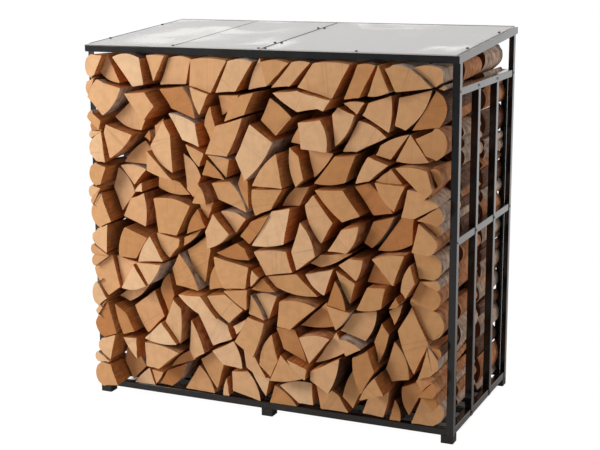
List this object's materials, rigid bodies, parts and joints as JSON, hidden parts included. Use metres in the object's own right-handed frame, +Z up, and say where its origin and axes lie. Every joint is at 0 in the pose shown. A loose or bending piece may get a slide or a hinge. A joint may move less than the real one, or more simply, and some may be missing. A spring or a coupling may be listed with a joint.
{
  "type": "log store",
  "caption": "Open steel-framed log store with a clear lean-to roof on low feet, filled with split firewood.",
  "frame": {"origin": "on the ground under the centre of the store's bounding box", "axes": "+X to the right as seen from the front, +Y from the front to the back, +Z up"},
  "size_m": [1.434, 0.8089, 1.3997],
  "materials": {
    "black_steel": "glossy black powder coat on steel angle",
    "foot_plastic": "moulded black plastic",
    "clear_sheet": "clear polycarbonate sheet",
    "split_firewood": "raw split and sawn birch and mixed hardwood with its bark on one side"
  },
  "bodies": {
    "root": {"back_bars": "black_steel", "back_bottom_rail": "black_steel", "back_left_foot": "foot_plastic", "back_left_post": "black_steel", "back_middle_foot": "foot_plastic", "back_middle_rail": "black_steel", "back_right_foot": "foot_plastic", "back_right_post": "black_steel", "back_row_logs": "split_firewood", "back_upper_rail": "black_steel", "floor_bars": "black_steel", "floor_bearer": "black_steel", "front_bottom_rail": "black_steel", "front_left_foot": "foot_plastic", "front_left_post": "black_steel", "front_middle_foot": "foot_plastic", "front_right_foot": "foot_plastic", "front_right_post": "black_steel", "front_row_logs": "split_firewood", "left_bottom_rail": "black_steel", "left_middle_rafter": "black_steel", "left_middle_rail": "black_steel", "left_roof_sheet": "clear_sheet", "left_side_bar_1": "black_steel", "left_side_bar_2": "black_steel", "left_upper_rail": "black_steel", "middle_row_logs": "split_firewood", "right_bottom_rail": "black_steel", "right_middle_rafter": "black_steel", "right_middle_rail": "black_steel", "right_roof_sheet": "clear_sheet", "right_side_bar_1": "black_steel", "right_side_bar_2": "black_steel", "right_upper_rail": "black_steel", "roof_back_rail": "black_steel", "roof_front_rail": "black_steel", "roof_left_rail": "black_steel", "roof_right_rail": "black_steel"}
  },
  "joints": []
}
